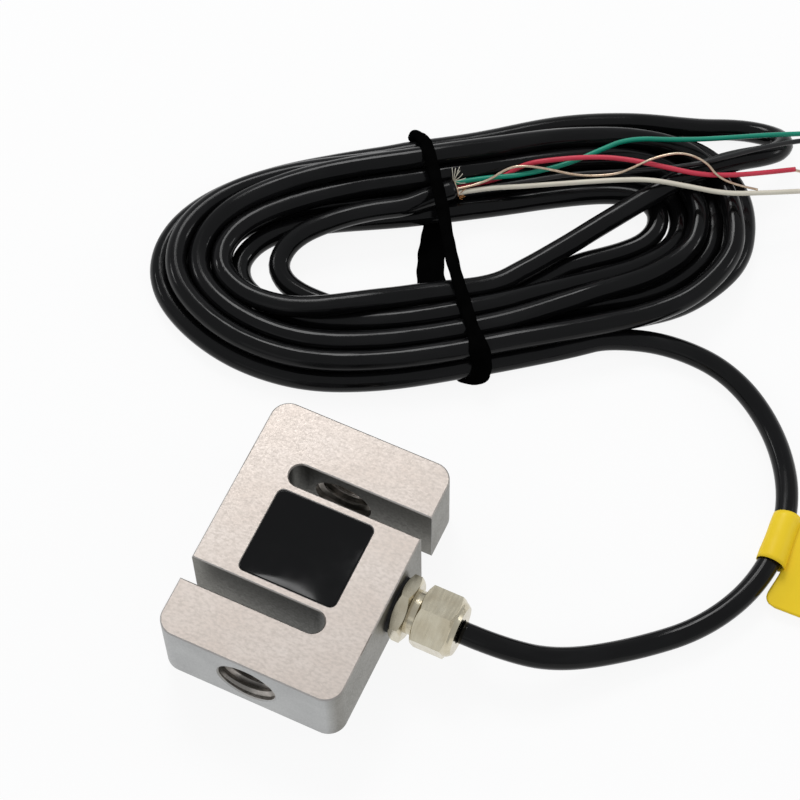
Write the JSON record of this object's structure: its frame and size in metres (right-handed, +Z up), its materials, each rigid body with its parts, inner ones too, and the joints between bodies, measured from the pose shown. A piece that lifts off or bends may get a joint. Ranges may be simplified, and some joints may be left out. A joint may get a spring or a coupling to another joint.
{
  "type": "s type load cell",
  "caption": "S shaped load cell with potted gauge pockets, threaded ends and a gland with a tied hank of shielded cable.",
  "frame": {"origin": "centre of the body's underside, on the surface it lies on", "axes": "+Y along the load axis out of the far threaded end, +X out of the face with the cable gland, +Z up out of the upper big face"},
  "size_m": [0.2137, 0.2175, 0.0234],
  "materials": {
    "body_steel": "fine ground, nickel plated alloy steel",
    "potting": "glossy black resin",
    "gauge_foil": "polyimide backed foil",
    "board": "green glass epoxy board",
    "resistor": "lacquered film resistor",
    "fine_wire": "enamelled copper",
    "link_wire": "insulated hook-up wire",
    "red_insulation": "extruded insulation",
    "green_insulation": "extruded insulation",
    "white_insulation": "extruded insulation",
    "black_insulation": "extruded insulation",
    "nickel_brass": "nickel plated brass, brushed flats",
    "black_rubber": "matt rubber",
    "cable_jacket": "glossy black PVC jacket",
    "tie": "matt black strap",
    "label": "plain yellow vinyl, blank",
    "tinned_copper": "bare twisted strands"
  },
  "bodies": {
    "root": {"load_cell_body": "body_steel", "front_potting": "potting", "back_potting": "potting", "front_gauge_upper": "gauge_foil", "front_gauge_lower": "gauge_foil", "back_gauge_upper": "gauge_foil", "back_gauge_lower": "gauge_foil", "front_terminal_board": "board", "back_terminal_board": "board", "balance_resistor": "resistor", "span_resistor": "resistor", "front_gauge_leads": "fine_wire", "back_gauge_leads": "fine_wire", "link_wires": "link_wire", "red_core": "red_insulation", "black_core": "black_insulation", "white_core": "white_insulation", "green_core": "green_insulation", "gland_body": "nickel_brass", "gland_nut": "nickel_brass", "gland_washer": "nickel_brass", "gland_gasket": "black_rubber", "gland_grommet": "black_rubber", "cable_jacket_end": "cable_jacket", "cable": "cable_jacket", "cable_coil": "cable_jacket", "cable_tie": "tie", "cable_label": "label", "green_lead": "green_insulation", "red_lead": "red_insulation", "white_lead": "white_insulation", "black_lead": "black_insulation", "drain_wire": "tinned_copper"}
  },
  "joints": []
}
